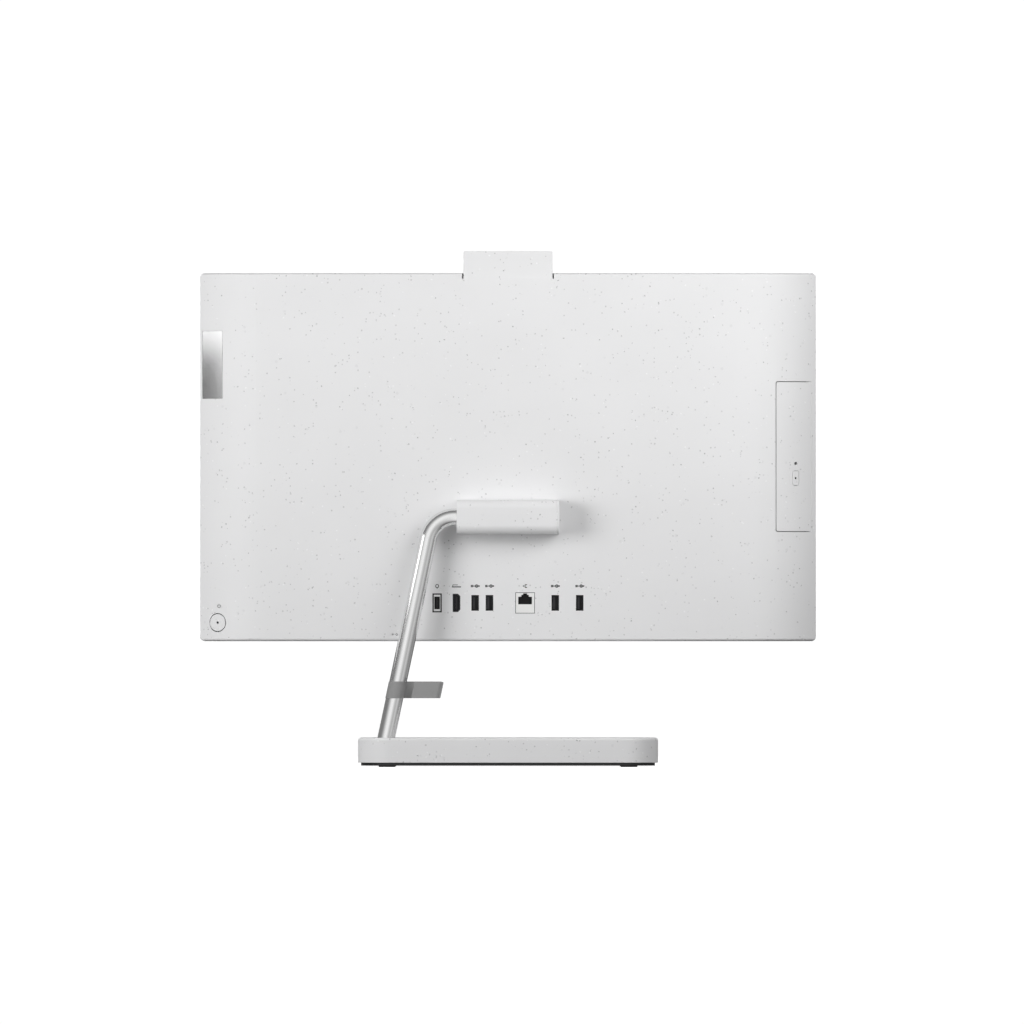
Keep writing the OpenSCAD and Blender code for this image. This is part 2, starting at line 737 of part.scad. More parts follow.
module power_button() color(white) in_screen() on_slope(button_x, button_z) difference() {
    union() {
        translate([0, 0, 0.1 - button_t]) cylinder(h = button_t, r = button_r);
        translate([0, 0, 0.1 - button_t - 1.2]) cylinder(h = 1.3, r = 4);
    }
    translate([0, 0, -button_t + 1.5]) cylinder(h = 5, r = 1.15);
}

module power_button_board() color(board) in_screen() on_slope(button_x, button_z) {
    translate([-9, -8, -8.4]) cube([18, 16, 1.2]);
    translate([-2.5, -2.5, -7.2]) cube([5, 5, 1.8]);
}

// ---------- optical drive ----------

module optical_drive_case() color(steel) in_screen() difference() {
    block([-drive_x, drive_low, drive_z], [-drive_x + drive_w, drive_low + drive_t, drive_z + drive_size_z]);
    block([-drive_x - 1, drive_low + 0.8, drive_z + 0.8],
          [-drive_x + drive_w - 0.8, drive_low + drive_t - 0.8, drive_z + drive_size_z - 0.8]);
}

// Tray with a recess for the disc, the spindle's pin and two rails for the laser sled.
module disc_tray() color(dark) in_screen() {
    difference() {
        block([-drive_x + 0.05, tray_low, drive_z + 1.6],
              [-drive_x + drive_w - 3, tray_low + tray_t, drive_z + drive_size_z - 1.6]);
        translate([-disc_x, 0, disc_z]) {
            rod_y(tray_low + tray_t - 1.6, 40, 60.6);
            rod_y(tray_low + 1, 40, 17);
        }
        block([-disc_x + 14, tray_low + 1, disc_z - 12], [-disc_x + 56, 40, disc_z + 12]);
    }
    translate([-disc_x, 0, disc_z]) {
        rod_y(tray_low + 0.5, tray_low + 3, 1.5);
        for (z = [-1, 1]) translate([0, tray_low + 2.6, z * rail_z]) rod_x(16, 57, rail_r);
    }
}

// The tray's front follows the slope of the cover, with ribs back to the tray.
module tray_bezel() color(white) in_screen() {
    low = door_z + door_gap;
    high = door_z + door_h - door_gap;
    difference() {
        intersection() {
            translate([0, 0, low]) linear_extrude(high - low) mirror([1, 0])
                slope_band(door_x, cover_half, cover_wall, 0);
            along_y(door_low + 0.4, screen_t + 1) translate([-(door_x + door_gap + door_edge) / 2, disc_z])
                rounded(door_edge - door_x - door_gap, high - low, 1.4);
        }
        on_slope(-eject_x, eject_z) translate([0, 0, -4]) linear_extrude(8)
            rounded(eject_size.x + 0.7, eject_size.y + 0.7, 1.95);
        on_slope(-eject_x, eject_hole_z) cylinder(h = 20, r = 1.45, center = true);
    }
    for (z = [low + 6, low + 30, high - 40, high - 8])
        translate([0, 0, z]) linear_extrude(2) mirror([1, 0]) intersection() {
            translate([slope_x, slope_y]) circle(slope_r - cover_wall + 0.2, $fn = 256);
            translate([drive_x, tray_low]) square([40, tray_t]);
        }
}

module eject_button() color(white) in_screen() on_slope(-eject_x, eject_z) difference() {
    translate([0, 0, -2.6]) linear_extrude(2.75) rounded(eject_size.x, eject_size.y, 1.6);
    translate([0, 0, -0.6]) cylinder(h = 2, r = 1);
}

module spindle_hub() color(steel) in_screen() translate([-disc_x, 0, disc_z]) difference() {
    union() {
        rod_y(tray_low + 1.3, tray_low + 3.4, 14);
        rod_y(tray_low + 3.3, tray_low + 5.6, 7.4);
    }
    rod_y(tray_low, tray_low + 3.3, 1.5 + shaft_gap);
}

module laser_sled() color(black) in_screen() translate([-disc_x, 0, disc_z]) {
    difference() {
        block([18, tray_low + 1.3, -11], [34, tray_low + 3.8, 11]);
        for (z = [-1, 1]) translate([0, tray_low + 2.6, z * rail_z]) rod_x(10, 60, rail_r + shaft_gap);
    }
    translate([26, 0, 0]) rod_y(tray_low + 3.7, tray_low + 4.4, 3.2);
}

// ---------- camera ----------

module camera_guides() color(dark) in_screen()
    for (side = [-1, 1]) difference() {
        block([min(side * 39.6, side * 45), plate_y + 0.1, 268], [max(side * 39.6, side * 45), 33.6, 316]);
        block([min(side * 39, side * 41), 22, 260], [max(side * 39, side * 41), 31, 320]);
    }

module camera_outline() translate([0, camera_top - camera_h / 2]) rounded(camera_w, camera_h, 1.5);

module camera_shell() color(white) in_screen() difference() {
    union() {
        along_y(camera_front + window_t, camera_back) camera_outline();
        for (side = [-1, 1])
            block([min(side * 39, side * 40.7), 22.4, camera_bottom],
                  [max(side * 39, side * 40.7), 30.6, camera_bottom + 16]);
    }
    block([-camera_w / 2 + camera_wall, camera_front, camera_bottom + camera_wall],
          [camera_w / 2 - camera_wall, camera_back - camera_wall, camera_top - camera_wall]);
}

module camera_window() color(black) in_screen() difference() {
    along_y(camera_front, camera_front + window_t - 0.02) camera_outline();
    translate([0, 0, lens_z]) rod_y(10, 30, lens_r);
    for (x = [-22, 22]) translate([x, 0, lens_z]) rod_y(10, 30, 0.6);
}

module camera_lens() color("#202838") in_screen() translate([0, 0, lens_z]) {
    rod_y(camera_front + 0.3, camera_front + window_t + 0.2, lens_r - 0.1);
    rod_y(camera_front + window_t + 0.1, camera_front + 8, 5);
}

module camera_board() color(board) in_screen() difference() {
    block([-34, camera_front + 8.1, camera_bottom + 22], [34, camera_front + 9.3, camera_top - 3]);
    for (x = [-31, 31]) translate([x, 0, lens_z]) rod_y(20, 40, 1.2);
}

module shutter_slider() color(dark) in_screen() {
    block([5, camera_front - 0.9, lens_z - 3.6], [14, camera_front - 0.05, lens_z + 3.6]);
    block([9, camera_front - 1.4, lens_z - 3], [10, camera_front - 0.85, lens_z + 3]);
}

// ---------- nodes ----------

base_shell();
base_bottom_plate();
base_weight();
base_feet();
base_screws();
stand_tube();
tube_foot_plate();
foot_plate_screws();
cable_clip();
hinge_shaft();
friction_washers();
hinge_nut();
rear_cover();
mid_frame();
front_bezel();
chin_cover();
lcd_glass();
lcd_backlight();
chassis_plate();
chassis_screws();
hinge_bracket();
hinge_cover();
hinge_end_cap();
motherboard();
board_screws();
power_jack();
video_port();
usb_port(usb_x[0]);  // usb_port_1
usb_port(usb_x[1]);  // usb_port_2
usb_port(usb_x[2]);  // usb_port_3
usb_port(usb_x[3]);  // usb_port_4
ethernet_port();
cpu_heat_spreader();
heat_pipe();
fin_stack();
fan_housing();
fan_rotor();
memory_module();
solid_state_drive();
wireless_card();
hard_drive();
speaker(1);  // left_speaker
speaker(-1);  // right_speaker
top_vent_grilles();
bottom_vent_grille();
badge_plate();
power_button();
power_button_board();
optical_drive_case();
disc_tray();
tray_bezel();
eject_button();
spindle_hub();
laser_sled();
camera_guides();
camera_shell();
camera_window();
camera_lens();
camera_board();
shutter_slider();
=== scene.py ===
"""All-in-one desktop computer on an offset tube stand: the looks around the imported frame."""
import json
import math

import bmesh
import bpy
from mathutils import Matrix, Vector


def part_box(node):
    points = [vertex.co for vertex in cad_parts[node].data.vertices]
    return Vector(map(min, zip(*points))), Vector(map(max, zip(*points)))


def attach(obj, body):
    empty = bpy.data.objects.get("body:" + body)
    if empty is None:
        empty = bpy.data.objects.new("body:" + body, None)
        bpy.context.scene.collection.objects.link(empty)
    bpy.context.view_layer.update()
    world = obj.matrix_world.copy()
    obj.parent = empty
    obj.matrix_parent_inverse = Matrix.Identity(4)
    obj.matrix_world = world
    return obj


MM = 0.001
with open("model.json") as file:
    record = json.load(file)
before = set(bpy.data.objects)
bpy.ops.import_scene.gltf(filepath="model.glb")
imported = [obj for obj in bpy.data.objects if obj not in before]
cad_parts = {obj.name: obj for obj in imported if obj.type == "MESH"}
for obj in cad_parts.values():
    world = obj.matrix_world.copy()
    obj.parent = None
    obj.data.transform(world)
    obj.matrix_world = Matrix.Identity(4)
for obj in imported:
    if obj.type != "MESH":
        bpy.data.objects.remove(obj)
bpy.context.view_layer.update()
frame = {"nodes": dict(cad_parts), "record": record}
nodes = frame["nodes"]
scene = bpy.context.scene


# ---------- camera ----------

PICTURE_WIDTH = 0.9011      # metres across the picture at the object
DISTANCE = 16.0
cam_data = bpy.data.cameras.new("camera")
cam_data.sensor_width = 36
cam_data.lens = 36 * DISTANCE / PICTURE_WIDTH
cam_data.clip_end = 200
camera = bpy.data.objects.new("camera", cam_data)
EYE_Z, AIM_Z = 0.07, 0.2241
camera.location = (-0.0035, DISTANCE, EYE_Z)
camera.rotation_euler = (math.radians(90) + math.atan((AIM_Z - EYE_Z) / DISTANCE), 0, math.radians(180))
scene.collection.objects.link(camera)
scene.camera = camera


# ---------- materials ----------

class Graph:
    """A material with short calls for its nodes."""

    def __init__(self, name, colour, rough, metallic=0.0):
        self.mat = bpy.data.materials.new(name)
        self.mat.use_nodes = True
        self.tree = self.mat.node_tree
        self.tree.nodes.clear()
        out = self.node("ShaderNodeOutputMaterial")
        self.shader = self.node("ShaderNodeBsdfPrincipled")
        self.link(self.shader.outputs[0], out.inputs[0])
        self.set("Base Color", (*colour, 1))
        self.set("Roughness", rough)
        self.set("Metallic", metallic)
        self.mat.diffuse_color = (*colour, 1)
        self.place = self.node("ShaderNodeTexCoord").outputs["Object"]

    def node(self, kind, **values):
        made = self.tree.nodes.new(kind)
        for key, value in values.items():
            setattr(made, key, value)
        return made

    def link(self, a, b):
        self.tree.links.new(a, b)

    def set(self, socket, value):
        if hasattr(value, "is_output"):
            self.link(value, self.shader.inputs[socket])
        else:
            self.shader.inputs[socket].default_value = value

    def stretched(self, scale, turn=(0, 0, 0)):
        """Object coordinates turned, then scaled by (x, y, z)."""
        turned = self.node("ShaderNodeMapping")
        turned.inputs["Rotation"].default_value = turn
        self.link(self.place, turned.inputs["Vector"])
        mapping = self.node("ShaderNodeMapping")
        mapping.inputs["Scale"].default_value = scale
        self.link(turned.outputs[0], mapping.inputs["Vector"])
        return mapping.outputs[0]

    def wobbled(self, scale, reach):
        """Object coordinates pushed about by a noise, up to about `reach`."""
        noise = self.node("ShaderNodeTexNoise")
        noise.inputs["Scale"].default_value = scale
        self.link(self.place, noise.inputs["Vector"])
        push = self.node("ShaderNodeVectorMath", operation="MULTIPLY_ADD")
        self.link(noise.outputs["Color"], push.inputs[0])
        push.inputs[1].default_value = (2 * reach,) * 3
        self.link(self.place, push.inputs[2])
        return push.outputs[0]

    def noise(self, scale, detail=2.0, at=None):
        made = self.node("ShaderNodeTexNoise")
        made.inputs["Scale"].default_value = scale
        made.inputs["Detail"].default_value = detail
        self.link(at or self.place, made.inputs["Vector"])
        return made.outputs["Fac"]

    def remap(self, value, low, high, to_low, to_high, smooth=False):
        made = self.node("ShaderNodeMapRange")
        made.interpolation_type = "SMOOTHSTEP" if smooth else "LINEAR"
        for key, number in zip(("From Min", "From Max", "To Min", "To Max"), (low, high, to_low, to_high)):
            made.inputs[key].default_value = number
        self.link(value, made.inputs["Value"])
        return made.outputs["Result"]

    def math(self, kind, a, b):
        made = self.node("ShaderNodeMath", operation=kind)
        for socket, value in zip(made.inputs, (a, b)):
            if hasattr(value, "is_output"):
                self.link(value, socket)
            else:
                socket.default_value = value
        return made.outputs[0]

    def mix(self, share, a, b):
        """Colour a where share is 0 and b where it is 1."""
        made = self.node("ShaderNodeMix", data_type="RGBA")
        self.link(share, made.inputs["Factor"])
        for socket, value in ((made.inputs[6], a), (made.inputs[7], b)):
            if hasattr(value, "is_output"):
                self.link(value, socket)
            else:
                socket.default_value = (*value, 1)
        return made.outputs[2]

    def flecks(self, cell, radius, share, at=None):
        """1 inside sparse flecks: `cell` apart, about `radius` in size, in `share` of the cells."""
        made = self.node("ShaderNodeTexVoronoi", feature="F1")
        made.inputs["Scale"].default_value = 1 / cell
        self.link(at or self.place, made.inputs["Vector"])
        inside = self.remap(made.outputs["Distance"], radius / cell * 1.3, radius / cell * 0.6, 0, 1, True)
        pick = self.node("ShaderNodeSeparateColor")
        self.link(made.outputs["Color"], pick.inputs[0])
        return self.math("MULTIPLY", inside, self.math("LESS_THAN", pick.outputs[0], share))

    def bump(self, height, strength, distance):
        made = self.node("ShaderNodeBump")
        made.inputs["Strength"].default_value = strength
        made.inputs["Distance"].default_value = distance
        self.link(height, made.inputs["Height"])
        self.link(made.outputs[0], self.shader.inputs["Normal"])


def shade(colour, factor):
    return tuple(c * factor for c in colour)


def flecked_white(name):
    """White moulded plastic with small dark and light flecks in loose groups all through it."""
    white = (0.86, 0.86, 0.865)
    g = Graph(name, white, 0.5)
    rough_edged = g.wobbled(700, 0.0008)
    group = g.remap(g.noise(85, 1), 0.49, 0.56, 0, 1, True)
    tone = g.mix(g.remap(g.noise(14, 3), 0.3, 0.7, 0, 1), shade(white, 0.985), shade(white, 1.01))
    for cell, radius, share, level in ((0.0070, 0.00130, 0.30, 0.93), (0.0042, 0.00070, 0.26, 1.12),
                                       (0.0033, 0.00072, 0.36, 0.74), (0.0040, 0.00062, 0.22, 0.58)):
        spots = g.math("MULTIPLY", group, g.flecks(cell, radius, share, rough_edged))
        tone = g.mix(spots, tone, shade(white, level))
    tone = g.mix(g.flecks(0.0060, 0.00060, 0.12, rough_edged), tone, shade(white, 0.70))
    g.set("Base Color", tone)
    g.set("Roughness", g.remap(g.noise(900, 2), 0.3, 0.7, 0.46, 0.56))
    g.set("Specular IOR Level", 0.35)
    g.bump(g.noise(2200, 2), 0.06, 0.0001)
    return g.mat


def grained(name, colour, rough, spread=0.06, grain=1800.0, strength=0.08):
    """Moulded plastic or rubber: a fine grain in height, roughness and tone."""
    g = Graph(name, colour, rough)
    g.set("Base Color", g.mix(g.noise(60, 4), shade(colour, 1 - spread), shade(colour, 1 + spread)))
    g.set("Roughness", g.remap(g.noise(grain * 0.6, 2), 0.3, 0.7, rough - 0.05, rough + 0.05))
    g.bump(g.noise(grain, 2), strength, 0.0001)
    return g.mat


def brushed(name, colour, rough, along, spread=0.05, turn=(0, 0, 0), play=0.05, strength=0.05):
    """Metal with fine lines: `along` scales the noise, small on the axis that the lines run along."""
    g = Graph(name, colour, rough, 1.0)
    lines = g.noise(1.0, 3, g.stretched(along, turn))
    g.set("Base Color", g.mix(lines, shade(colour, 1 - spread), shade(colour, 1 + spread)))
    g.set("Roughness", g.remap(lines, 0.3, 0.7, rough - play, rough + play))
    g.bump(lines, strength, 0.00005)
    return g.mat


def translucent(name, colour, rough):
    """Milky moulded plastic that lets some light through."""
    g = Graph(name, colour, rough)
    g.set("Base Color", g.mix(g.noise(80, 3), shade(colour, 0.98), shade(colour, 1.02)))
    g.set("Roughness", g.remap(g.noise(900, 2), 0.3, 0.7, rough - 0.04, rough + 0.04))
    g.set("Alpha", 0.80)
    g.bump(g.noise(1500, 2), 0.05, 0.0001)
    return g.mat


def circuit(name):
    """Green board with lighter copper tracks under its mask."""
    g = Graph(name, (0.012, 0.09, 0.04), 0.35)
    cells = g.node("ShaderNodeTexVoronoi", feature="DISTANCE_TO_EDGE")
    cells.inputs["Scale"].default_value = 260
    g.link(g.place, cells.inputs["Vector"])
    track = g.remap(cells.outputs["Distance"], 0.03, 0.06, 1, 0, True)
    g.set("Base Color", g.mix(track, (0.01, 0.075, 0.035), (0.03, 0.19, 0.08)))
    g.bump(track, 0.1, 0.00003)
    return g.mat


def polished_badge(name):
    """Plain polished metal plate; its light and dark parts are reflections of the room."""
    g = Graph(name, (0.6, 0.6, 0.6), 0.1, 1.0)
    g.set("Base Color", g.mix(g.noise(30, 3), (0.58, 0.58, 0.585), (0.62, 0.62, 0.62)))
    g.set("Roughness", g.remap(g.noise(40, 3), 0.3, 0.7, 0.15, 0.2))
    return g.mat


def dark_display(name):
    """Display glass over a dark panel."""
    g = Graph(name, (0.006, 0.006, 0.007), 0.12)
    g.set("Base Color", g.mix(g.noise(5, 2), (0.005, 0.005, 0.006), (0.009, 0.009, 0.010)))
    g.set("Roughness", g.remap(g.noise(700, 2), 0.3, 0.7, 0.1, 0.16))
    g.set("Coat Weight", 0.6)
    g.set("Coat Roughness", 0.05)
    return g.mat


LEG = Vector((0.2066, 0.1109, -0.9721))     # the way that the stand tube's leg runs
LEG_TURN = LEG.to_track_quat("Z", "Y").inverted().to_euler()
MATERIALS = {
    "white_plastic": flecked_white("white_plastic"),
    "grey_plastic": translucent("grey_plastic", (0.36, 0.36, 0.36), 0.45),
    "black_plastic": grained("black_plastic", (0.012, 0.012, 0.013), 0.45, 0.15),
    "port_white": grained("port_white", (0.90, 0.90, 0.89), 0.45, 0.02),
    "gloss_black": grained("gloss_black", (0.006, 0.006, 0.007), 0.12, 0.1, 600, 0.01),
    "rubber": grained("rubber", (0.02, 0.02, 0.02), 0.75, 0.15, 1200, 0.2),
    "steel": brushed("steel", (0.55, 0.55, 0.56), 0.34, (900, 900, 30)),
    "dark_steel": brushed("dark_steel", (0.06, 0.06, 0.063), 0.42, (900, 900, 60)),
    "tube_metal": brushed("tube_metal", (0.82, 0.82, 0.82), 0.12, (900, 900, 12), 0.02, LEG_TURN, 0.02, 0.01),
    "bright_metal": polished_badge("bright_metal"),
    "aluminium": brushed("aluminium", (0.70, 0.71, 0.72), 0.36, (40, 900, 900)),
    "light_guide": grained("light_guide", (0.78, 0.78, 0.78), 0.3, 0.02),
    "copper": brushed("copper", (0.72, 0.36, 0.22), 0.3, (60, 900, 900)),
    "circuit_board": circuit("circuit_board"),
    "display_glass": dark_display("display_glass"),
    "lens_glass": grained("lens_glass", (0.01, 0.012, 0.03), 0.06, 0.3, 400, 0.0),
}
PRINT = grained("printed_mark", (0.10, 0.10, 0.10), 0.6, 0.1)


# ---------- CAD nodes ----------

def soften(obj, width, segments=2):
    """Rounds a CAD node's sharp edges by modifiers, with its flat faces kept flat."""
    for face in obj.data.polygons:
        face.use_smooth = True
    obj.modifiers.new("join", "WELD").merge_threshold = 2e-6
    flat = obj.modifiers.new("flat", "DECIMATE")
    flat.decimate_type = "DISSOLVE"
    flat.angle_limit = math.radians(0.3)
    edge = obj.modifiers.new("edge", "BEVEL")
    edge.width = width
    edge.segments = segments
    edge.limit_method = "ANGLE"
    edge.angle_limit = math.radians(35)
    edge.miter_outer = "MITER_ARC"
    obj.modifiers.new("shading", "WEIGHTED_NORMAL")


EDGES = {
    "rear_cover": 0.35, "mid_frame": 0.5, "front_bezel": 0.3, "chin_cover": 0.35, "hinge_cover": 0.4,
    "hinge_end_cap": 0.4, "base_shell": 0.4, "base_bottom_plate": 0.5, "cable_clip": 0.35,
    "camera_shell": 0.4, "camera_window": 0.3, "tray_bezel": 0.3, "eject_button": 0.2,
    "power_button": 0.3, "badge_plate": 0.15, "ethernet_port": 0.25, "disc_tray": 0.4,
    "shutter_slider": 0.15, "spindle_hub": 0.3, "laser_sled": 0.2, "optical_drive_case": 0.2,
}
for part in frame["record"]["subparts"]:
    obj = nodes[part["node"]]
    obj.data.materials.clear()
    obj.data.materials.append(MATERIALS[part["material_slot"]])
    soften(obj, EDGES.get(part["node"], 0.12) * MM)


# ---------- small pieces ----------

def piece(name, mesh, material, body):
    """Links a bmesh as a piece that rides on a body."""
    data = bpy.data.meshes.new(name)
    bmesh.ops.recalc_face_normals(mesh, faces=mesh.faces)
    mesh.to_mesh(data)
    mesh.free()
    data.materials.append(material)
    obj = bpy.data.objects.new(name, data)
    scene.collection.objects.link(obj)
    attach(obj, body)
    return obj


def bar(mesh, centre, size, turn=Matrix.Identity(4)):
    """A box in millimetres in the given frame."""
    move = turn @ Matrix.Translation(Vector(centre) * MM) @ Matrix.Diagonal((*[s * MM for s in size], 1))
    bmesh.ops.create_cube(mesh, size=1, matrix=move)


def ring(mesh, centre, radius, line, height, turn, start=0.0, sweep=360.0, steps=40):
    """A flat ring or arc, with +Z of the frame as its axis."""
    closed = sweep >= 360
    inner, outer = radius - line / 2, radius + line / 2
    profile = ((inner, 0), (outer, 0), (outer, height), (inner, height))
    rows = []
    for i in range(steps + (0 if closed else 1)):
        a = math.radians(start + sweep * i / steps)
        row = []
        for r, z in profile:
            spot = Vector((centre[0] + r * math.cos(a), centre[1] + r * math.sin(a), centre[2] + z)) * MM
            row.append(mesh.verts.new(turn @ spot))
        rows.append(row)
    for i in range(len(rows) - (0 if closed else 1)):
        a, b = rows[i], rows[(i + 1) % len(rows)]
        for k in range(4):
            mesh.faces.new((a[k], b[k], b[(k + 1) % 4], a[(k + 1) % 4]))
    if not closed:
        mesh.faces.new(rows[0])
        mesh.faces.new(rows[-1])


def dot(mesh, centre, radius, height, turn, steps=24):
    """A low dome, with +Z of the frame as its axis."""
    angles = [2 * math.pi * i / steps for i in range(steps)]

    def circle(r, z):
        spots = ((centre[0] + r * math.cos(a), centre[1] + r * math.sin(a), centre[2] + z) for a in angles)
        return [mesh.verts.new(turn @ (Vector(spot) * MM)) for spot in spots]

    base = circle(radius, 0)
    mid = circle(radius * 0.7, height * 0.75)
    top = mesh.verts.new(turn @ (Vector((centre[0], centre[1], centre[2] + height)) * MM))
    mesh.faces.new(base)
    for i in range(steps):
        k = (i + 1) % steps
        mesh.faces.new((base[i], base[k], mid[k], mid[i]))
        mesh.faces.new((mid[i], mid[k], top))


cover_low, cover_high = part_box("rear_cover")
BACK_Y = cover_high.y / MM
frame_low, frame_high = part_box("mid_frame")
SLOPE_W, SLOPE_D, LIP = 55.0, 21.0, 0.5
SLOPE_R = (SLOPE_W ** 2 + SLOPE_D ** 2) / (2 * SLOPE_D)
SLOPE_X = frame_high.x / MM - LIP - SLOPE_W


OUTWARDS = Matrix(((-1, 0, 0, 0), (0, 0, 1, 0), (0, 1, 0, 0), (0, 0, 0, 1)))


def on_back(x, z):
    """Frame on the flat back: +Z outwards, +Y up."""
    return Matrix.Translation(Vector((x, BACK_Y, z)) * MM) @ OUTWARDS


def on_slope(x, z):
    """Frame on the sloped side at x: +Z along the surface's normal, +Y up."""
    angle = math.asin((abs(x) - SLOPE_X) / SLOPE_R)
    y = BACK_Y - SLOPE_R + SLOPE_R * math.cos(angle)
    lean = math.copysign(angle, x)
    return Matrix.Translation(Vector((x, y, z)) * MM) @ Matrix.Rotation(-lean, 4, "Z") @ OUTWARDS


SCREEN_LOW = frame_low.z / MM
PORT_Z = SCREEN_LOW + 33.6
JACK_X, VIDEO_X, NETWORK_X = 62.3, 45.3, -15.0
SERIAL_X = (28.9, 16.3, -41.5, -63.0)


def port_marks():
    """Plain symbols printed above the connectors, and a mark near the lower edge."""
    mesh = bmesh.new()
    z = 158.8
    thin = 0.06

    at = on_back(JACK_X, z)
    ring(mesh, (0, 0, -0.02), 1.35, 0.75, thin, at)
    bar(mesh, (0, -1.9, 0.01), (0.7, 0.8, thin), at)

    at = on_back(VIDEO_X, z)
    bar(mesh, (0, -0.75, 0.01), (8.0, 1.0, thin), at)
    bar(mesh, (-1.2, 1.0, 0.01), (4.6, 0.6, thin), at)
    bar(mesh, (-3.2, 0.2, 0.01), (0.6, 1.6, thin), at)

    for x in SERIAL_X:
        at = on_back(x, z)
        bar(mesh, (0, 0, 0.01), (7.6, 0.8, thin), at)
        bar(mesh, (-2.8, 0, 0.02), (2.0, 2.0, thin), at)
        ring(mesh, (1.3, 0, -0.02), 1.1, 0.8, thin, at)
        bar(mesh, (3.4, 0, 0.02), (1.2, 1.4, thin), at)

    at = on_back(NETWORK_X, z)
    bar(mesh, (-1.3, 0, 0.01), (1.3, 1.1, thin), at)
    bar(mesh, (0, 0, 0.015), (0.7, 2.6, thin), at)
    bar(mesh, (0.9, 1.2, 0.01), (1.6, 1.0, thin), at)
    bar(mesh, (0.9, -1.2, 0.01), (1.6, 1.0, thin), at)

    ring(mesh, (0, 0, -0.02), 0.85, 0.3, thin, on_back(97.8, 116.2))
    piece("port_marks", mesh, PRINT, "screen")


def power_mark():
    """A ring with a bar, above the power button."""
    mesh = bmesh.new()
    at = on_slope(254.1, 141.3)
    ring(mesh, (0, 0, -0.1), 1.45, 0.75, 0.16, at, 125, 290)
    bar(mesh, (0, 0.8, -0.02), (0.75, 2.2, 0.16), at)
    piece("power_mark", mesh, grained("mark_grey", (0.33, 0.33, 0.33), 0.6), "screen")


def lights_on_buttons():
    """Small dark lenses in the power button and the eject button."""
    mesh = bmesh.new()
    dot(mesh, (0, 0, -1.5), 1.1, 1.35, on_slope(255.4, SCREEN_LOW + 16.3))
    piece("power_lens", mesh, MATERIALS["gloss_black"], "power_key")
    mesh = bmesh.new()
    dot(mesh, (0, 0, -0.6), 0.95, 0.6, on_slope(-253.0, SCREEN_LOW + 143.3))
    piece("eject_lens", mesh, MATERIALS["gloss_black"], "eject_key")


def rectangle(w, h):
    return [(-w / 2, -h / 2), (w / 2, -h / 2), (w / 2, h / 2), (-w / 2, h / 2)]


def slot_outline(grow):
    """The video connector's outline: two corners cut off on one long side."""
    w, h, cut = 2.95 + grow, 7.65 + grow, 2.0
    return [(w, -h), (w, h), (-w + cut, h), (-w, h - cut), (-w, -h + cut), (-w + cut, -h)]


def socket_outline(grow):
    """The network socket's stepped mouth."""
    corners = ((6, 5.4), (3.2, 5.4), (3.2, 7.1), (1.7, 7.1), (1.7, 8.3))
    right = [(6 + grow, -1.2 - grow)] + [(x + grow, z + grow) for x, z in corners]
    return right + [(-x, z) for x, z in reversed(right)]


def sleeve(mesh, x, inner, outer, y0, y1):
    """A closed band round (x, PORT_Z) between two outlines, from y0 to y1."""
    rows = []
    for (ax, az), (bx, bz) in zip(inner, outer):
        spots = ((ax, az, y0), (bx, bz, y0), (bx, bz, y1), (ax, az, y1))
        rows.append([mesh.verts.new(Vector((x + u, y, PORT_Z + v)) * MM) for u, v, y in spots])
    for i, a in enumerate(rows):
        b = rows[(i + 1) % len(rows)]
        for k in range(4):
            mesh.faces.new((a[k], b[k], b[(k + 1) % 4], a[(k + 1) % 4]))


def gaskets_and_shade_linings():
    """Black foam round each connector behind the cover, and painted shade in the two light sockets: black
    linings, back walls and a block over the jack's pin, dark sheets where their insides fall in shade.
    """
    mesh = bmesh.new()
    y0, y1 = BACK_Y - 3.4, BACK_Y - 2.3
    sleeve(mesh, JACK_X, rectangle(6.35, 14.85), rectangle(11, 19.5), y0, y1)
    sleeve(mesh, NETWORK_X, rectangle(16.45, 17.85), rectangle(20, 21.4), y0, y1)
    sleeve(mesh, VIDEO_X, slot_outline(0.03), slot_outline(2), y0, y1)
    for x in SERIAL_X:
        sleeve(mesh, x, rectangle(5.95, 13.15), rectangle(9.6, 16.8), y0, y1)
    # Painted shade: the black linings, back walls and pin block below stand in for the shade inside the jack
    # and network sockets.
    back = BACK_Y - 0.6
    sleeve(mesh, JACK_X, rectangle(5.9, 14.4), rectangle(8.1, 16.6), back - 0.5, back + 0.1)
    sleeve(mesh, NETWORK_X, rectangle(16.2, 17.6), rectangle(17.0, 18.4), back - 0.5, back + 0.1)
    bar(mesh, (JACK_X, back - 7, PORT_Z), (1.3, 8.2, 8.2))
    sleeve(mesh, JACK_X, rectangle(4.6, 10.8), rectangle(4.78, 10.98), back - 10.9, back - 0.15)
    bar(mesh, (JACK_X, back - 10.9, PORT_Z), (4.7, 0.15, 10.9))
    sleeve(mesh, NETWORK_X, socket_outline(-0.1), socket_outline(-0.01), back - 12.9, back - 0.15)
    bar(mesh, (NETWORK_X, back - 12.9, PORT_Z + 2.1), (11.9, 0.15, 6.5))
    bar(mesh, (NETWORK_X, back - 12.9, PORT_Z + 6.2), (6.3, 0.15, 1.8))
    bar(mesh, (NETWORK_X, back - 12.9, PORT_Z + 7.6), (3.3, 0.15, 1.3))
    # One piece: real black foam rings together with black sheets that paint the shade inside the sockets.
    piece("gaskets_and_painted_shade_linings", mesh, MATERIALS["black_plastic"], "screen")


port_marks()
power_mark()
lights_on_buttons()
gaskets_and_shade_linings()


# ---------- stage and light ----------

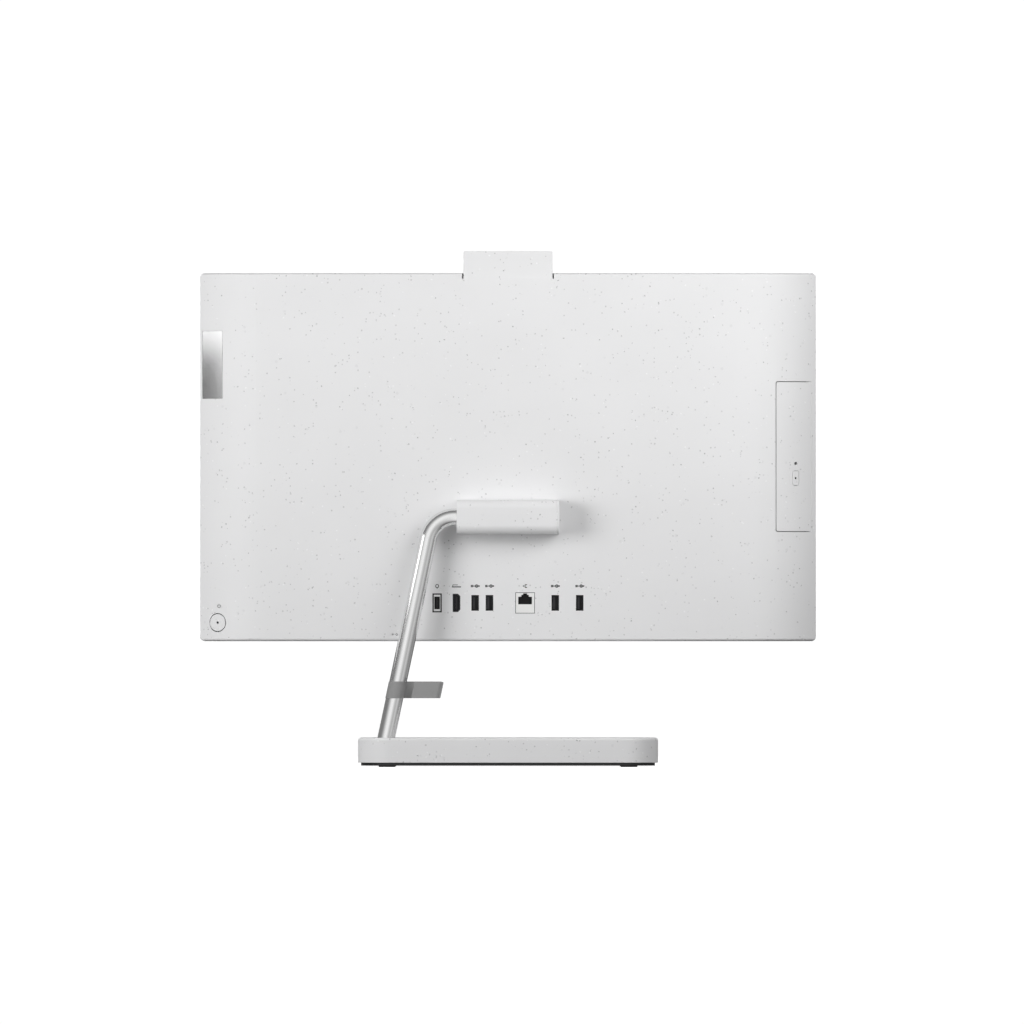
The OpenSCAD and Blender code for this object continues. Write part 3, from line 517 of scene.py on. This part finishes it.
def floor():
    """Plain pale floor with an even glow, which keeps it white under weak lights."""
    mesh = bmesh.new()
    bmesh.ops.create_circle(mesh, cap_ends=True, radius=40, segments=96)
    data = bpy.data.meshes.new("floor")
    mesh.to_mesh(data)
    mesh.free()
    obj = bpy.data.objects.new("floor", data)
    scene.collection.objects.link(obj)
    g = Graph("floor", (0.70, 0.70, 0.70), 0.8)
    g.set("Base Color", g.mix(g.noise(3, 2), (0.69, 0.69, 0.69), (0.71, 0.71, 0.71)))
    g.set("Specular IOR Level", 0.1)
    g.set("Emission Color", (1, 1, 1, 1))
    g.set("Emission Strength", 0.87)
    data.materials.append(g.mat)
    obj.visible_glossy = False
    obj.visible_diffuse = False


def panel_light(name, place, aim, size, watts, in_gloss=True, in_diffuse=True):
    data = bpy.data.lights.new(name, "AREA")
    data.shape = "RECTANGLE"
    data.size, data.size_y = size
    data.energy = watts
    obj = bpy.data.objects.new(name, data)
    obj.location = place
    obj.rotation_euler = (Vector(aim) - Vector(place)).to_track_quat("-Z", "Y").to_euler()
    obj.visible_camera = False
    obj.visible_glossy = in_gloss
    obj.visible_diffuse = in_diffuse
    scene.collection.objects.link(obj)


def sky():
    """White to the camera, dim as light, and in reflections brightest towards +Y."""
    world = bpy.data.worlds.new("sky")
    world.use_nodes = True
    tree = world.node_tree
    tree.nodes.clear()

    def node(kind, *sources):
        made = tree.nodes.new(kind)
        for i, source in enumerate(sources):
            if source is not None:
                tree.links.new(source, made.inputs[i])
        return made

    def glow(colour, strength=1.0):
        made = node("ShaderNodeBackground")
        if hasattr(colour, "is_output"):
            tree.links.new(colour, made.inputs[0])
        else:
            made.inputs[0].default_value = (colour, colour, colour, 1)
        made.inputs[1].default_value = strength
        return made.outputs[0]

    def ramp(value, stops):
        shift = node("ShaderNodeMapRange", value)
        shift.inputs["From Min"].default_value = -1
        made = node("ShaderNodeValToRGB", shift.outputs[0])
        steps = made.color_ramp.elements
        for at, level in stops:
            step = steps[0] if at == -1 else steps[-1] if at == 1 else steps.new((at + 1) / 2)
            step.color = (level, level, level, 1)
        return made.outputs[0]

    split = node("ShaderNodeSeparateXYZ", node("ShaderNodeTexCoord").outputs["Generated"])
    ahead = ramp(split.outputs[1], ((-1, 0.25), (-0.7, 0.25), (0.0, 0.22), (0.3, 0.28), (0.48, 0.38),
                                    (0.69, 0.75), (0.83, 0.95), (0.93, 1.0), (1, 1.0)))
    across = ramp(split.outputs[0], ((-1, 1.3), (-0.9, 1.5), (-0.78, 1.0), (-0.6, 0.56), (-0.4, 0.56),
                                     (-0.1, 0.85), (0.05, 1.0), (1, 1.0)))
    both = node("ShaderNodeVectorMath", ahead, across)
    both.operation = "MULTIPLY"
    dim = ramp(split.outputs[1], ((-1, 0.35), (0, 0.15), (1, 0.15)))
    path = node("ShaderNodeLightPath")
    lit = node("ShaderNodeMixShader", path.outputs["Is Glossy Ray"], glow(dim), glow(both.outputs[0]))
    seen = node("ShaderNodeMixShader", path.outputs["Is Camera Ray"], lit.outputs[0], glow(1.0, 1.05))
    node("ShaderNodeOutputWorld", seen.outputs[0])
    scene.world = world


floor()
sky()
panel_light("left", (1.28, 1.22, 0.38), (0, 0.02, 0.28), (0.8, 0.8), 15.75, False)
panel_light("side", (1.63, 0.76, 0.35), (0, 0.02, 0.28), (0.6, 0.6), 1.0, False)
panel_light("right", (-0.6, 0.6, 0.6), (-0.1, 0.02, 0.42), (0.8, 0.5), 3.6, False)
panel_light("over", (0.0, 0.5, 0.47), (0, 0.02, 0.45), (1.2, 0.25), 0.7, False)
panel_light("front", (0.7, -1.7, 1.1), (0, 0, 0.25), (1.2, 1.2), 10, False)
# Only reflections see this one: the badge plate mirrors it.
panel_light("gleam", (0.73, 0.185, 0.435), (0.26, 0.02, 0.3535), (0.4, 0.11), 0.25, True, False)
scene.view_settings.view_transform = "Standard"
